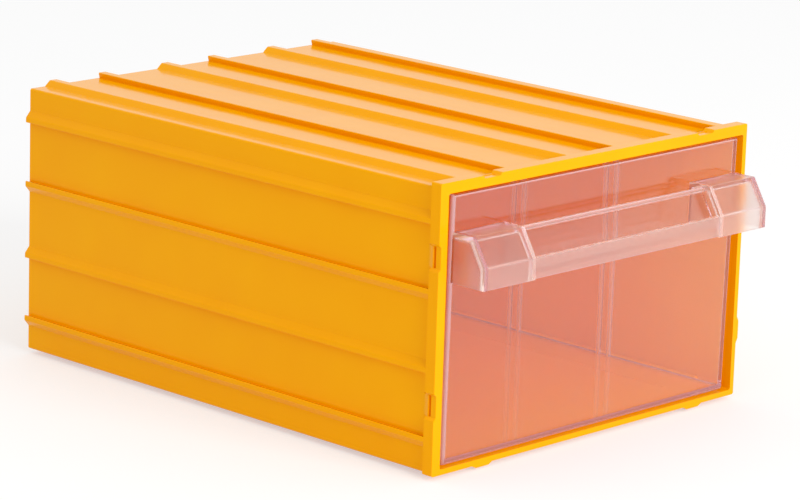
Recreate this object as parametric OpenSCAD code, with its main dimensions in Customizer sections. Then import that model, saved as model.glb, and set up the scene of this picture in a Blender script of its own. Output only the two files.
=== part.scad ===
// Stackable drawer box: a one-piece moulded housing that slides onto its neighbours
// by dovetail ribs, and a clear drawer with a full-width pull and a label holder.
// Lengths are in millimetres. X is the width, +Y runs from the front to the back, +Z is up.

/* [Housing] */
// Width of the housing over its two side walls
body_w = 250; // [220:1:300]
// Height of the housing between its underside and its top
body_h = 157; // [150:1:200]
// Depth of the housing from the front rim to the back
body_d = 334; // [300:1:380]
// Thickness of the housing's walls
wall = 3; // [2.5:0.1:3.5]
// Radius of the housing's long outer edges
edge_r = 1.2; // [0.8:0.2:3]
// Depth of the raised front rim
rim_d = 7; // [7:0.5:9]

/* [Dovetail ribs] */
// Height of the ribs and of the front rim over the top and the left wall
rib_h = 3.2; // [2.8:0.1:4]
// How far the tip of a rib overhangs its channel
undercut = 0.8; // [0.4:0.1:1]
// Width of each channel in the top
top_channel = 32.4; // [28:0.2:36]
// Distance between the channels in the top
top_pitch = 88.4; // [80:0.2:90]
// Width of one rib on the top
top_rib_w = 9.2; // [8:0.2:10]
// Width of each channel in the left side
side_channel = 34.8; // [30:0.2:36]
// Distance between the channels in the left side
side_pitch = 81.3; // [76:0.1:84]
// Width of one rib on the left side
side_rib_w = 6.8; // [6:0.2:8]

/* [Tongues] */
// Height of the tongues under the floor and on the right side
tongue_h = 3; // [2.5:0.1:3]
// Gap between a tongue and each side of the channel it slides in
tongue_gap = 0.3; // [0.2:0.05:0.5]
// Distance from the front rim to the start of the tongues
tongue_start = 12; // [12:1:20]

/* [Drawer] */
// Width of the drawer at its top
drawer_w = 236.4; // [200:0.2:237]
// How much each side of the drawer leans in from top to bottom
side_draft = 0.5; // [0.4:0.1:1.5]
// How much the front and the back of the drawer lean in from top to bottom
end_draft = 1.8; // [1:0.1:2]
// Thickness of the drawer's walls and floor
skin = 2.3; // [2:0.1:2.6]
// Distance between the pairs of divider guides
guide_pitch = 72; // [60:1:78]

/* [Pull] */
// Reach of the pull in front of the housing
grip_out = 22.8; // [20:0.1:26]
// Depth of the flat top of the pull
grip_top = 13.4; // [11:0.1:15]
// Height of the pull
grip_h = 27.7; // [26:0.1:32]
// Height of the pull's upright front
grip_face = 12; // [10:0.1:14]
// Width of the closed hood at each end of the pull
hood_w = 40.4; // [36:0.2:60]

/* [Travel] */
// How far the drawer is drawn out of the housing
drawn = 0; // [0:1:295]

/* [Hidden] */

// Placing of the body in the part's frame: the origin is at the middle of the base
total_w = rib_h + body_w + tongue_h;
total_d = grip_out + body_d;
body_x = rib_h - total_w / 2 + body_w / 2;
front_y = grip_out - total_d / 2;
base_z = tongue_h;

// Channels, counted from the middle of the wall they are in
top_channels = [-top_pitch, 0, top_pitch];
side_channels = [-side_pitch / 2, side_pitch / 2];
side_mid_z = 79;

// Sloping back of the ribs and the tongues, and the radii at the two edges of their crown
back_run = 3.7;
tip_r = 0.5;
crown_r = 1.2;

// How far a raised shape reaches into the wall that carries it, and how far a cut runs
// past the face it opens
bury = 0.6;
past = 1;

// The rim stands this far past the flush right side and underside, where neighbours meet
rim_step = 0.2;

// Catches in the front rim and the lugs that drop into them
catch_d = 3.6;
catch_h = 1.6;
catch_l = 15;
slot_d = 1.6;
ramp_d = 5.6;
ramp_h = 1.8;
ramp_flat = 1;
lug_base = 16;
lug_tip = 10;
lug_d = 3.2;
lug_h = 1.5;

// Inside of the housing: runners and side guides on the floor, stops in the roof
floor_z = wall;
roof_z = body_h - wall;
inner_x = body_w / 2 - wall;
inside_r = 1.2;
slide_start = 25;
runner_h = 0.4;
runner_w = 2.4;
runner_x = 92;
guide_w = 3;
guide_h = 3.2;
guide_bevel = 1;
stop_x = 62;
stop_w = 22;
stop_h = 1.2;
stop_y = 22;
stop_d = 3;

// Drawer, with the gaps around it: below, above and behind
slide_gap = 0.2;
head_gap = 1.7;
back_gap = 3.5;
drawer_y = 0.5;
drawer_back = body_d - wall - back_gap;
drawer_z = floor_z + runner_h + slide_gap;
drawer_top = roof_z - head_gap;
corner_r = 1.6;
inner_r = 1;
lip_h = 1;
tab_h = 1.1;
tab_d = 2.4;
rib_t = 1.8;
rib_out = 2.2;
rib_gap = 7.8;
rib_end = 4;
rib_reach = side_draft + skin + rib_out;
rib_top = drawer_top - rib_end;
guide_mid = (drawer_y + drawer_back) / 2;
guides = [guide_mid - guide_pitch, guide_mid, guide_mid + guide_pitch];

// Pull, set in a little from the drawer's sides
grip_inset = 0.9;
grip_z = 132.5;
grip_root = drawer_y + end_draft;
cheek_t = 2.8;
shell_t = 3.2;
hollow_r = 1.5;
grip_low = grip_z - grip_h;
crease_z = grip_low + grip_face;
grip_half = drawer_w / 2 - grip_inset;
hood_in = grip_half - hood_w;
slope_out = grip_out - grip_top;
slope_down = grip_z - crease_z;
slope_l = norm([slope_out, slope_down]);
slope_u = [slope_out, slope_down] / slope_l;

// Label holder between the hoods
label_sink = 5.8;
label_t = 1.6;
rail_t = 3;
rail_h = 3;
rail_r = 1.2;
rail_y = -10;
rail_z = grip_z - 1.1;
band_low = grip_low + 0.6;

/* ---- Shared shapes ---- */

// Rectangle from (x0, z0) to (x1, z1) with rounded corners
module round_rect(x0, z0, x1, z1, r) {
    translate([x0 + r, z0]) square([x1 - x0 - 2 * r, z1 - z0]);
    translate([x0, z0 + r]) square([x1 - x0, z1 - z0 - 2 * r]);
    for (x = [x0 + r, x1 - r], z = [z0 + r, z1 - r])
        translate([x, z]) circle(r, $fn = 32);
}

// Extrudes an X-Z outline along Y from y0 over the length l
module along_y(y0, l) {
    translate([0, y0 + l, 0]) rotate([90, 0, 0]) linear_extrude(l) children();
}

// Extrudes a Y-Z outline along X, centred, over the length l
module along_x(l) {
    rotate([90, 0, 90]) translate([0, 0, -l / 2]) linear_extrude(l) children();
}

// Arc of the radius r that rounds the corner b of an outline, between its neighbours a and c
function rounded(a, b, c, r, n = 4) =
    let (u = (a - b) / norm(a - b), v = (c - b) / norm(c - b), half = acos(u * v) / 2,
         mid = b + (u + v) / norm(u + v) * r / sin(half), turn = 180 - 2 * half,
         from = b + u * r / tan(half) - mid, to = b + v * r / tan(half) - mid)
    [for (i = [0 : n]) mid + (from * sin(turn * (1 - i / n)) + to * sin(turn * i / n)) / sin(turn)];

// Outline of a rib that stands on the line z = 0. Its steep face rises from the point
// (foot, 0) to (tip, h), and behind the flat crown its back slopes down to (-w, 0).
function rib_outline(w, h, foot, tip) =
    let (shoulder = [back_run - w, h])
    concat([[-w, 0], [-w, -bury], [foot, -bury], [foot, 0]],
           rounded([foot, 0], [tip, h], shoulder, tip_r),
           rounded([tip, h], shoulder, [-w, 0], crown_r));

// Two ribs that face each other over a channel of the width `gap`, with tips that overhang it
module channel_ribs(gap, w, h) {
    for (s = [0, 1]) mirror([s, 0]) translate([-gap / 2, 0])
        polygon(rib_outline(w, h, -undercut, 0));
}

// Two ribs back to back, with steep faces that fill a channel of the width `gap`
module tongue_ribs(gap, w, h) {
    for (s = [0, 1]) mirror([s, 0]) translate([gap / 2 - tongue_gap, 0])
        polygon(rib_outline(w, h, 0, undercut));
}

/* ---- Housing ---- */

// Places an outline drawn on z = 0 on one of the four long walls: the top and the left
// side carry channels, the underside and the right side carry tongues
module on_top(x) { translate([x, body_h]) children(); }
module on_left(z) { translate([-body_w / 2, side_mid_z + z]) rotate(90) children(); }
module under(x) { translate([x, 0]) mirror([0, 1]) children(); }
module on_right(z) { translate([body_w / 2, side_mid_z + z]) rotate(-90) children(); }

module dovetail_ribs() {
    along_y(rim_d / 2, body_d - rim_d / 2) {
        for (x = top_channels) on_top(x) channel_ribs(top_channel, top_rib_w, rib_h);
        for (z = side_channels) on_left(z) channel_ribs(side_channel, side_rib_w, rib_h);
    }
    along_y(tongue_start, body_d - tongue_start) {
        for (x = top_channels) under(x) tongue_ribs(top_channel, top_rib_w, tongue_h);
        for (z = side_channels) on_right(z) tongue_ribs(side_channel, side_rib_w, tongue_h);
    }
}

// Lug with sloping ends that snaps into a neighbour's catch
module lug_outline() {
    polygon([[-lug_base / 2, -bury], [-lug_base / 2, 0], [-lug_tip / 2, lug_h],
             [lug_tip / 2, lug_h], [lug_base / 2, 0], [lug_base / 2, -bury]]);
}

// Pocket of a catch, drawn downwards from the rim's outer face at z = rib_h
module catch_outline(depth) {
    top = rib_h + past;
    polygon([[-catch_l / 2, top], [-catch_l / 2, rib_h], [-catch_l / 2 + catch_h, rib_h - catch_h],
             [-catch_l / 2 + catch_h, rib_h - depth], [catch_l / 2 - catch_h, rib_h - depth],
             [catch_l / 2 - catch_h, rib_h - catch_h], [catch_l / 2, rib_h], [catch_l / 2, top]]);
}

// Ramp behind a catch, which lifts the lug over the slot: a wedge along +Y on z = 0
module ramp() {
    y0 = catch_d + slot_d;
    translate([-catch_l / 2 + catch_h, 0, 0]) rotate([90, 0, 90])
        linear_extrude(catch_l - 2 * catch_h)
            polygon([[y0, -bury], [y0, ramp_h], [y0 + ramp_flat, ramp_h],
                     [y0 + ramp_d, 0], [y0 + ramp_d, -bury]]);
}

// A shallow pocket opens the front of each catch, and a slot behind it goes down to the wall
module catches_cut() {
    for (depth = [catch_h, rib_h]) {
        front = depth == rib_h ? catch_d : -past;
        along_y(front, rim_d + past - front) {
            for (x = [-top_pitch, top_pitch]) on_top(x) catch_outline(depth);
            for (z = side_channels) on_left(z) catch_outline(depth);
        }
    }
}

module ramps() {
    for (x = [-top_pitch, top_pitch]) translate([x, 0, body_h]) ramp();
    for (z = side_channels) translate([-body_w / 2, 0, side_mid_z + z]) rotate([0, -90, 0]) ramp();
}

module rim() {
    difference() {
        along_y(0, rim_d)
            round_rect(-body_w / 2 - rib_h, -rim_step, body_w / 2 + rim_step, body_h + rib_h, edge_r);
        catches_cut();
    }
    along_y(0, lug_d) {
        for (x = [-top_pitch, top_pitch]) under(x) translate([0, rim_step]) lug_outline();
        for (z = side_channels) on_right(z) translate([0, rim_step]) lug_outline();
    }
}

// Runners under the drawer, guides beside its foot and two stops inside the roof
module slideways() {
    l = body_d - wall - slide_start;
    for (s = [-1, 1]) {
        translate([s * runner_x - runner_w / 2, slide_start, floor_z - bury])
            cube([runner_w, l, runner_h + bury]);
        along_y(slide_start, l) scale([s, 1])
            polygon([[inner_x + bury, floor_z - bury], [inner_x - guide_w, floor_z - bury],
                     [inner_x - guide_w, floor_z + guide_h - guide_bevel],
                     [inner_x - guide_w + guide_bevel, floor_z + guide_h],
                     [inner_x + bury, floor_z + guide_h]]);
        translate([s * stop_x, 0, 0]) along_x(stop_w)
            polygon([[stop_y - 2 * stop_h, roof_z + bury], [stop_y - 2 * stop_h, roof_z],
                     [stop_y, roof_z - stop_h], [stop_y + stop_d, roof_z - stop_h],
                     [stop_y + stop_d, roof_z + bury]]);
    }
}

module housing() {
    color("#F7A800") translate([body_x, front_y, base_z]) {
        difference() {
            union() {
                along_y(0, body_d) round_rect(-body_w / 2, 0, body_w / 2, body_h, edge_r);
                dovetail_ribs();
                rim();
                ramps();
            }
            along_y(-past, body_d - wall + past)
                round_rect(-inner_x, floor_z, inner_x, roof_z, inside_r);
        }
        slideways();
    }
}

/* ---- Drawer ---- */

// Block with walls that lean in towards the floor, taken in by t all round and with edges
// of the radius r. Its top stands `over` above the drawer's top edge.
module tray_block(t, r, over) {
    hull() for (x = [-1, 1], front = [0, 1]) {
        y = front ? drawer_y + t + r : drawer_back - t - r;
        lean = front ? end_draft : -end_draft;
        translate([x * (drawer_w / 2 - t - r), y, drawer_top - lip_h])
            cylinder(h = lip_h + over, r = r, $fn = 32);
        translate([x * (drawer_w / 2 - side_draft - t - r), y + lean, drawer_z + t + r])
            sphere(r, $fn = 32);
    }
}

// Upright guide ribs in pairs, which hold a cross divider
module divider_guides() {
    intersection() {
        tray_block(skin / 2, inner_r, 0);
        for (y = guides, s = [-1, 1], g = [-rib_gap / 2, rib_gap / 2])
            translate([s * (drawer_w - rib_reach) / 2 - rib_reach / 2, y + g - rib_t / 2, drawer_z])
                cube([rib_reach, rib_t, rib_top - drawer_z]);
    }
}

// Side view of the pull, taken in by t behind its top, slope and front, down to z = low
function hood_outline(t, low) =
    let (bend = t * (1 - slope_u[0]) / slope_u[1], fold = t * (1 - slope_u[1]) / slope_u[0])
    [[grip_root, grip_z - t], [-grip_top + bend, grip_z - t], [-grip_out + t, crease_z - fold],
     [-grip_out + t, low], [grip_root, low]];

// Hollow of a hood, with rounded inner edges
module hood_hollow() {
    hull() for (x = [-1, 1], p = hood_outline(shell_t + hollow_r, grip_low - past))
        translate([x * (hood_w / 2 - cheek_t - hollow_r), p[0], p[1]]) sphere(hollow_r, $fn = 24);
}

// Closed hoods at the two ends of the pull, open below for the fingers
module hoods() {
    for (s = [-1, 1]) translate([s * (grip_half - hood_w / 2), 0, 0]) difference() {
        along_x(hood_w) polygon(hood_outline(0, grip_low));
        hood_hollow();
    }
}

// Point of the label holder's sloping plate: s down the slope, n behind the hoods' slope
function label_pt(s, n) = [-grip_top - slope_u[0] * s + slope_u[1] * n,
                           grip_z - slope_u[1] * s - slope_u[0] * n];

// Rail, sloping plate and upright band between the hoods: a card slides in behind the band
module label_holder() {
    l = 2 * hood_in + 2 * bury;
    n = [label_sink, label_sink + label_t];
    s_low = (grip_out - grip_top - shell_t / 2 + slope_u[1] * n[0]) / slope_u[0];
    along_x(l) polygon([label_pt(0, n[0]), label_pt(s_low, n[0]), label_pt(s_low, n[1]), label_pt(0, n[1])]);
    along_x(l) round_rect(rail_y, rail_z - rail_h, rail_y + rail_t, rail_z, rail_r);
    along_x(l) polygon([[-grip_out, crease_z], [-grip_out, band_low],
                        [-grip_out + shell_t, band_low], [-grip_out + shell_t, crease_z]]);
}

module stop_tabs() {
    for (s = [-1, 1])
        translate([s * stop_x - stop_w / 2, drawer_back - tab_d, drawer_top - bury])
            cube([stop_w, tab_d, bury + tab_h]);
}

module drawer() {
    color("#E9C9C9") translate([body_x, front_y - drawn, base_z]) {
        difference() {
            tray_block(0, corner_r, 0);
            tray_block(skin, inner_r, past);
        }
        divider_guides();
        hoods();
        label_holder();
        stop_tabs();
    }
}

housing();
drawer();
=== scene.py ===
"""Looks for the stackable drawer box: an orange-yellow sleeve and its clear rose-tinted drawer."""

import math

import bpy
from mathutils import Matrix, Vector


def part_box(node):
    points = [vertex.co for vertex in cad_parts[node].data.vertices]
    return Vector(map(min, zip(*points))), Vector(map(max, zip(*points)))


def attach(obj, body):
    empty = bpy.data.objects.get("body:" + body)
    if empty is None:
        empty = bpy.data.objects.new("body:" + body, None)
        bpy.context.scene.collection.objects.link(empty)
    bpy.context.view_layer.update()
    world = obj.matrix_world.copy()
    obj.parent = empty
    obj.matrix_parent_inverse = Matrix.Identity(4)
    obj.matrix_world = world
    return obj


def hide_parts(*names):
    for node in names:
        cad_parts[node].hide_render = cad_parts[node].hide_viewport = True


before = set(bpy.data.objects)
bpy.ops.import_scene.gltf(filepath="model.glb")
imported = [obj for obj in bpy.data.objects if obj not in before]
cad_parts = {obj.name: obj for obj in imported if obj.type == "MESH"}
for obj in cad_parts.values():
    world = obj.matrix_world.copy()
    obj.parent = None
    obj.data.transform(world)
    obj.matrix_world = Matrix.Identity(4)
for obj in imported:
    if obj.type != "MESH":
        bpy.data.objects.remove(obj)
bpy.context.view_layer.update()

# ---- Housing ----
# The sleeve with its closed back, its raised front rim, dovetail ribs and catches. It is one
# moulding of polypropylene, with the small radii that a mould's cutter leaves. Nothing is
# fixed to it: the drawer runs inside it, and its neighbours slide onto its ribs.


def tidy_copy(node, name):
    """A merged copy of a CAD node's mesh, with its flat faces made whole, which stands for the node."""
    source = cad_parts[node]
    piece = bpy.data.objects.new(name, source.data.copy())
    bpy.context.scene.collection.objects.link(piece)
    piece.data.materials.clear()
    bpy.ops.object.select_all(action="DESELECT")
    bpy.context.view_layer.objects.active = piece
    piece.select_set(True)
    bpy.ops.object.mode_set(mode="EDIT")
    bpy.ops.mesh.select_all(action="SELECT")
    bpy.ops.mesh.remove_doubles(threshold=2e-6)
    bpy.ops.mesh.dissolve_limited(angle_limit=math.radians(0.4), delimit=set())
    bpy.ops.object.mode_set(mode="OBJECT")
    return piece


def soften_edges(piece, radius, sharper_than, slot=-1):
    """Rounds the edges that turn by more than an angle in degrees, as the mould's cutter leaves them.

    The rounded faces get the finish in the slot, or with -1 that of the faces beside them.
    """
    bevel = piece.modifiers.new("mould_radius", "BEVEL")
    bevel.material = slot
    bevel.limit_method = "ANGLE"
    bevel.angle_limit = math.radians(sharper_than)
    bevel.width = radius
    bevel.segments = 2
    bevel.use_clamp_overlap = True
    bevel.harden_normals = False
    bevel.miter_outer = "MITER_ARC"
    bpy.ops.object.modifier_apply(modifier=bevel.name)
    bpy.ops.object.shade_smooth_by_angle(angle=math.radians(40))
    flat = piece.modifiers.new("flat_faces_stay_flat", "WEIGHTED_NORMAL")
    flat.mode = "FACE_AREA"
    flat.weight = 100
    flat.keep_sharp = True
    bpy.ops.object.modifier_apply(modifier=flat.name)


housing = tidy_copy("housing", "housing_shell")
soften_edges(housing, radius=0.00035, sharper_than=35)


def linear(code):
    """An sRGB hex colour as linear RGBA."""
    parts = [int(code[i : i + 2], 16) / 255 for i in (1, 3, 5)]
    return [c / 12.92 if c <= 0.04045 else ((c + 0.055) / 1.055) ** 2.4 for c in parts] + [1.0]


def add_node(material, kind, settings=(), links=()):
    """Adds a node, sets its properties and sockets, and links other nodes' outputs to its inputs."""
    node = material.node_tree.nodes.new(kind)
    for key, value in dict(settings).items():
        if isinstance(key, str) and hasattr(node, key):
            setattr(node, key, value)
        else:
            node.inputs[key].default_value = value
    for key, output in dict(links).items():
        material.node_tree.links.new(output, node.inputs[key])
    return node


def new_material(name):
    """A material with no nodes yet."""
    material = bpy.data.materials.new(name)
    material.use_nodes = True
    material.node_tree.nodes.clear()
    return material


# Polypropylene from a polished mould: an even warm colour under a soft orange sheen. Its walls
# sink by a hair as they cool, in hollows some 36 mm apart, so that reflections waver, and the
# colour is a shade lighter on the high spots.
sink_spacing = 0.0357

plastic = new_material("moulded_polypropylene")
place = add_node(plastic, "ShaderNodeTexCoord")
sink = add_node(
    plastic,
    "ShaderNodeTexNoise",
    {"Scale": 1 / sink_spacing, "Detail": 1.0},
    {"Vector": place.outputs["Object"]},
)
sink_bump = add_node(
    plastic,
    "ShaderNodeBump",
    {"Strength": 0.2, "Distance": 0.001},
    {"Height": sink.outputs["Fac"]},
)
pigment = add_node(
    plastic,
    "ShaderNodeMix",
    {"data_type": "RGBA", "A": linear("#F7A600"), "B": linear("#FAAE00")},
    {0: sink.outputs["Fac"]},
)
surface = add_node(
    plastic,
    "ShaderNodeBsdfPrincipled",
    {"Roughness": 0.14, "IOR": 1.49, "Specular IOR Level": 0.18, "Specular Tint": linear("#FF9A00")},
    {"Base Color": pigment.outputs["Result"], "Normal": sink_bump.outputs["Normal"]},
)
add_node(plastic, "ShaderNodeOutputMaterial", links={"Surface": surface.outputs["BSDF"]})
housing.data.materials.append(plastic)

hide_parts("housing")
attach(housing, "housing")

# ---- Drawer ----
# The tray with its pull, label holder and divider guides, in one moulding of clear polystyrene.
# Its rose tint is faint through a wall and gathers where a wall is seen edge-on. It slides on
# the housing's two runners.

drawer = tidy_copy("drawer", "drawer_tray")

# The plastic sets in slow ripples some 71 mm apart, which bend what is seen through it. Hairline
# scuffs are too fine to show, so they are drawn coarser, as threads some 4 mm apart that are a
# little less clear.
ripple_spacing = 0.0714
scuff_spacing = 0.003846
scuff_haze = 0.15

# A ray that has been reflected more often than this is caught inside a wall
most_reflections = 2.5


def clear_polystyrene(name, colour, roughness, clear, glow, shade):
    """Clear plastic. `clear` is the share of light that goes through, and `shade` tints its shadow.

    Lamps shine straight through it. A ray caught between a wall's two faces ends on a matt
    `glow`: a painted glow that stands in for the light leaving by the wall's edges.
    """
    material = new_material(name)
    place = add_node(material, "ShaderNodeTexCoord")
    ripple = add_node(
        material,
        "ShaderNodeTexNoise",
        {"Scale": 1 / ripple_spacing, "Detail": 1.0},
        {"Vector": place.outputs["Object"]},
    )
    ripple_bump = add_node(
        material,
        "ShaderNodeBump",
        {"Strength": 0.1, "Distance": 0.001},
        {"Height": ripple.outputs["Fac"]},
    )
    scuff = add_node(
        material,
        "ShaderNodeTexNoise",
        {"Scale": 1 / scuff_spacing, "Detail": 3.0, "Distortion": 2.5},
        {"Vector": place.outputs["Object"]},
    )
    worn = add_node(
        material,
        "ShaderNodeMapRange",
        {"From Min": 0.7, "From Max": 0.8, "To Min": clear, "To Max": clear - scuff_haze},
        {"Value": scuff.outputs["Fac"]},
    )
    surface = add_node(
        material,
        "ShaderNodeBsdfPrincipled",
        {"Base Color": linear(colour), "Roughness": roughness, "IOR": 1.55},
        {"Transmission Weight": worn.outputs["Result"], "Normal": ripple_bump.outputs["Normal"]},
    )
    path = add_node(material, "ShaderNodeLightPath")
    caught = add_node(
        material,
        "ShaderNodeMath",
        {"operation": "GREATER_THAN", 1: most_reflections},
        {0: path.outputs["Glossy Depth"]},
    )
    edge_light = add_node(material, "ShaderNodeBsdfDiffuse", {"Color": linear(glow)})
    seen = add_node(
        material,
        "ShaderNodeMixShader",
        links={0: caught.outputs[0], 1: surface.outputs["BSDF"], 2: edge_light.outputs["BSDF"]},
    )
    unbent = add_node(
        material,
        "ShaderNodeMath",
        {"operation": "MAXIMUM"},
        {0: path.outputs["Is Shadow Ray"], 1: path.outputs["Is Diffuse Ray"]},
    )
    passing = add_node(material, "ShaderNodeBsdfTransparent", {"Color": linear(shade)})
    whole = add_node(
        material,
        "ShaderNodeMixShader",
        links={0: unbent.outputs[0], 1: seen.outputs[0], 2: passing.outputs["BSDF"]},
    )
    add_node(material, "ShaderNodeOutputMaterial", links={"Surface": whole.outputs[0]})
    return material


def add_finish(name, colour, roughness, clear, glow, shade):
    """Adds a finish of clear polystyrene to the drawer and gives its slot."""
    drawer.data.materials.append(clear_polystyrene(name, colour, roughness, clear, glow, shade))
    return len(drawer.data.materials) - 1


# Walls and floor from a polished mould: clear as glass, with mauve light in their edges
polished = add_finish("polished_polystyrene", "#FEF8F4", 0.02, 0.99, "#DCC0DC", "#FFFFFF")

# Rounded edges and curves of the tray: painted highlight, thin pale pink lines that outline it
edge_lit = add_finish("edge_lit_polystyrene", "#DCBABC", 0.25, 0.6, "#F4E0E0", "#E4C0B8")

# Insides of the hoods, the rail and the label plate: clear, with cream light in their edges
pull = add_finish("pull_polystyrene", "#F8EEEA", 0.02, 1.0, "#FCF0E8", "#FCF4F2")

# Outer skin of the hoods, with a fine grain from the mould that blurs what is behind it. The
# grain itself is too fine to show, so it is drawn as roughness alone.
grained = add_finish("grained_polystyrene", "#FBF2EE", 0.28, 0.97, "#FCF0E8", "#FCF4F2")

# Divider guides, tabs and the pull's small edges: pale stripes that stay see-through
# On the pull's small rounded edges the pale colour is a painted highlight, as on the tray's edges
frosted_and_highlit = add_finish("frosted_polystyrene", "#F4E4E8", 0.1, 0.8, "#FCF0E8", "#F4DCD4")

# End of the floor plate behind the front: a mauve strip, as the tint is seen through its depth
floor_end = add_finish("edge_on_polystyrene", "#BC888C", 0.1, 0.6, "#C08C94", "#E4C0B8")

# Ends of the hoods' walls behind their outer skin: pale pink bands along the hoods' outline
# The bands are painted light, standing in for the light that the walls' ends catch
lit_hood_band = add_finish("cheek_lit_polystyrene", "#F2DED6", 0.12, 0.7, "#FCF0E8", "#FCF4F2")

# Outermost cheek of each hood, seen through its whole depth: a mauve line at the pull's end
hood_end = add_finish("depth_lit_polystyrene", "#C89AA2", 0.1, 0.7, "#D8A8B0", "#FCF4F2")

# Upright faces of the hoods and the label holder: the same fine grain, a little milkier
upright = add_finish("grained_upright_polystyrene", "#FDF6F2", 0.28, 0.91, "#FCF0E8", "#FCF4F2")


def split_faces(piece, chosen, point, normal):
    """Cuts the chosen flat faces along a plane, so that each side can have a finish of its own."""
    bpy.ops.object.mode_set(mode="EDIT")
    bpy.ops.mesh.select_mode(type="FACE")
    bpy.ops.mesh.select_all(action="DESELECT")
    bpy.ops.object.mode_set(mode="OBJECT")
    for face in piece.data.polygons:
        face.select = chosen(face)
    bpy.ops.object.mode_set(mode="EDIT")
    bpy.ops.mesh.bisect(plane_co=point, plane_no=normal)
    bpy.ops.object.mode_set(mode="OBJECT")


# Parts of a face's normal: it runs across the drawer within 6 degrees, faces a direction within
# 26, lies square to it within 8, and slants when it is over 14 degrees from every axis
running_across = 0.1
facing = 0.9
square_to = 0.99
slanting = 0.97

# The pull is all that stands ahead of a plane 22.5 mm behind its own face. The tray's front
# leans back behind that plane by less than 3 mm.
pull_depth = 0.0225
front_lean = 0.003
drawer_low, drawer_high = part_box("drawer")
front_y = drawer_low.y + pull_depth

# The floor plate and the curve over it show through the foot of the front as a strip
floor_end_height = 0.0038
floor_end_z = drawer_low.z + floor_end_height


def in_pull(face):
    """Whether a face belongs to the pull."""
    return face.center.y < front_y


def on_front(face):
    """Whether a face is the outer face of the tray's front, or a part of it."""
    return face.normal.y < -square_to and abs(face.center.y - front_y) < front_lean


split_faces(drawer, on_front, (0, 0, floor_end_z), (0, 0, 1))

# Each hood has a flat top, a slope and an upright face over two cheeks, and the ends of its
# walls show as bands along its outline
hood_inset = 0.0009
hood_width = 0.0404
cheek = 0.0028
shell = 0.0032
slope_run = 0.0094
slope_drop = 0.0157

# The drawer lies 0.1 mm to the right of the frame's middle, which this margin takes in
off_middle = 0.0002

hood_outer_x = (drawer_high.x - drawer_low.x) / 2 - hood_inset
hood_inner_x = hood_outer_x - hood_width
upright_y = drawer_low.y
pull_top_z = max(face.center.z for face in drawer.data.polygons if in_pull(face))
slope_top = Vector((0, upright_y + slope_run, pull_top_z))
slope_out = Vector((0, -slope_drop, slope_run)).normalized()


def across_hood(face):
    """Whether a face of the pull runs from cheek to cheek."""
    return in_pull(face) and abs(face.normal.x) < running_across


def beside_hood(face):
    """Whether a face of the pull is a side of a cheek."""
    return in_pull(face) and abs(face.normal.x) > facing


for side in (-1, 1):
    for x in (hood_inner_x, hood_inner_x + cheek, hood_outer_x - cheek):
        split_faces(drawer, across_hood, (side * x, 0, 0), (1, 0, 0))
split_faces(drawer, beside_hood, (0, upright_y + shell, 0), (0, 1, 0))
split_faces(drawer, beside_hood, (0, 0, pull_top_z - shell), (0, 0, 1))
split_faces(drawer, beside_hood, slope_top - slope_out * shell, slope_out)


def on_hood_end(face):
    """Whether a face covers a hood's outermost cheek."""
    return across_hood(face) and abs(face.center.x) > hood_outer_x - cheek


def on_hood_band(face):
    """Whether a face of the pull covers the end of a wall behind it."""
    if across_hood(face):
        return on_hood_end(face) or hood_inner_x < abs(face.center.x) < hood_inner_x + cheek
    behind_upright = face.center.y > upright_y + shell
    behind_slope = (face.center - slope_top).dot(slope_out) < -shell
    below_top = face.center.z < pull_top_z - shell
    return beside_hood(face) and not (behind_upright and behind_slope and below_top)


def on_hood_skin(face):
    """Whether a face is one of a hood's outer sides, which have a fine grain."""
    x = abs(face.center.x)
    at_side = x > hood_outer_x - cheek / 2 or x < hood_inner_x + cheek / 2
    ahead_or_up = face.normal.y < -facing or face.normal.z > facing
    on_slope = face.normal.dot(slope_out) > facing
    outside = ahead_or_up or on_slope or beside_hood(face) and at_side
    return in_pull(face) and x > hood_inner_x - off_middle and outside


# Areas in square metres: faces of curves are under 250 mm2, flat faces of the guides and tabs
# under 400 mm2, and those of the tray's walls and floor over 2000 mm2
curve_area = 2.5e-4
guide_area = 4e-4


def finish_of(face):
    """The slot of a face's finish, once the rounded edges are in the slot of the lit edges."""
    if on_front(face) and face.center.z < floor_end_z:
        return floor_end
    if on_hood_band(face):
        return hood_end if on_hood_end(face) else lit_hood_band
    on_curve = max(abs(part) for part in face.normal) < slanting and face.area < curve_area
    if face.material_index == edge_lit or on_curve:
        return frosted_and_highlit if in_pull(face) else edge_lit
    if in_pull(face) and face.normal.y < -facing:
        return upright
    if in_pull(face):
        return grained if on_hood_skin(face) else pull
    return frosted_and_highlit if face.area < guide_area else polished


soften_edges(drawer, radius=0.0004, sharper_than=25, slot=edge_lit)
for face in drawer.data.polygons:
    face.material_index = finish_of(face)

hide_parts("drawer")
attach(drawer, "drawer")

# ---- Floor and room ----
# A plain pale floor in an even white room. Where the floor is seen, directly, through the clear
# plastic or in a gloss, half of its colour is plain white, so that it is pale and still holds
# the box's shadow.

bpy.ops.object.select_all(action="DESELECT")
bpy.ops.mesh.primitive_circle_add(vertices=64, radius=9.0, fill_type="NGON", location=(0, 0, 0))
floor = bpy.context.object
floor.name = "floor"


def where_seen(material):
    """A node that is 1 for what the camera sees, directly, through clear plastic or in a gloss."""
    path = add_node(material, "ShaderNodeLightPath")
    direct = add_node(
        material,
        "ShaderNodeMath",
        {"operation": "MAXIMUM"},
        {0: path.outputs["Is Camera Ray"], 1: path.outputs["Is Transmission Ray"]},
    )
    return add_node(
        material,
        "ShaderNodeMath",
        {"operation": "MAXIMUM"},
        {0: direct.outputs[0], 1: path.outputs["Is Glossy Ray"]},
    )


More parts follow.
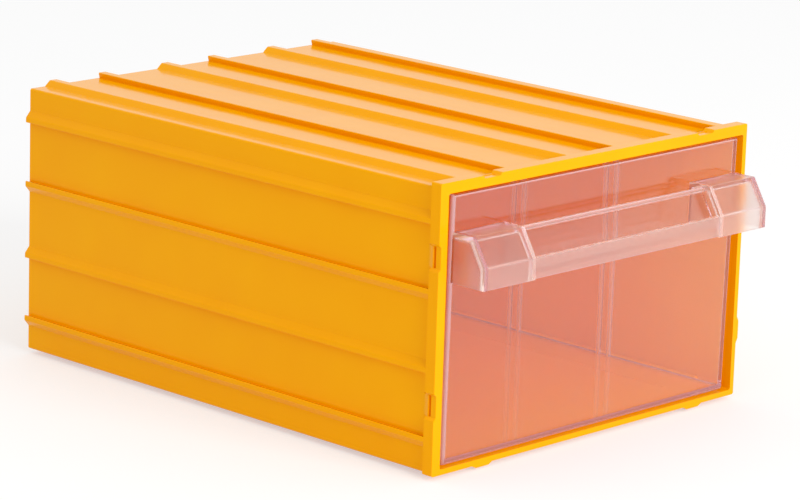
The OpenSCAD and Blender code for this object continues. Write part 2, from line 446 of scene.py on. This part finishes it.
# Matt painted board: an even pale ground with no gloss of its own
board = new_material("matt_painted_board")
seen = where_seen(board)
paint = add_node(
    board,
    "ShaderNodeMix",
    {"data_type": "RGBA", "A": linear("#EEEEEE"), "B": linear("#FFFFFF")},
    {0: seen.outputs[0]},
)
matt = add_node(board, "ShaderNodeBsdfDiffuse", links={"Color": paint.outputs["Result"]})
white = add_node(board, "ShaderNodeEmission", {"Color": linear("#FFFFFF"), "Strength": 1.0})
half = add_node(board, "ShaderNodeMath", {"operation": "MULTIPLY", 1: 0.5}, {0: seen.outputs[0]})
ground = add_node(
    board,
    "ShaderNodeMixShader",
    links={0: half.outputs[0], 1: matt.outputs["BSDF"], 2: white.outputs["Emission"]},
)
add_node(board, "ShaderNodeOutputMaterial", links={"Surface": ground.outputs[0]})
floor.data.materials.append(board)

# The room lights the box a little less than white, and is plain white where it is seen
world = bpy.data.worlds.new("white_room")
bpy.context.scene.world = world
world.use_nodes = True
world.node_tree.nodes.clear()
seen = where_seen(world)
level = add_node(
    world, "ShaderNodeMapRange", {"To Min": 0.84, "To Max": 1.0}, {"Value": seen.outputs[0]}
)
room = add_node(
    world,
    "ShaderNodeBackground",
    {"Color": linear("#FFFFFF")},
    {"Strength": level.outputs["Result"]},
)
add_node(world, "ShaderNodeOutputWorld", links={"Surface": room.outputs["Background"]})

# ---- Lamp ----
# One wide soft box in front, a little to the left and well above the drawer, turned to the
# middle of the box.

soft_box = bpy.data.lights.new("front_soft_box", "AREA")
soft_box.shape = "RECTANGLE"
soft_box.size = 1.6
soft_box.size_y = 1.2
soft_box.energy = 42.0
lamp = bpy.data.objects.new("front_soft_box", soft_box)
bpy.context.scene.collection.objects.link(lamp)
lamp.location = (-0.2, -2.4, 1.1)
box_middle = Vector((0, 0, 0.08))
lamp.rotation_euler = (box_middle - lamp.location).to_track_quat("-Z", "Y").to_euler()

# ---- Camera ----
# A long lens off the front left corner, a little above the box, turned slightly about its axis.
# Place in metres, angles in degrees, lens in millimetres.

camera_at = (-1.5187, -1.4574, 0.5925)
camera_turn = 46.27
camera_dip = 13.73
camera_roll = 1.83

lens = bpy.data.cameras.new("camera")
lens.lens = 168.1
lens.sensor_width = 36.0
camera = bpy.data.objects.new("camera", lens)
bpy.context.scene.collection.objects.link(camera)
camera.matrix_world = (
    Matrix.Translation(camera_at)
    @ Matrix.Rotation(math.radians(-camera_turn), 4, "Z")
    @ Matrix.Rotation(math.radians(90 - camera_dip), 4, "X")
    @ Matrix.Rotation(math.radians(camera_roll), 4, "Z")
)
bpy.context.scene.camera = camera
bpy.context.scene.view_settings.view_transform = "Standard"

# Light crosses many faces of clear plastic on its way through the closed drawer
cycles = bpy.context.scene.cycles
cycles.diffuse_bounces = 12
cycles.glossy_bounces = 24
cycles.transmission_bounces = 24
cycles.max_bounces = 32
cycles.transparent_max_bounces = 32
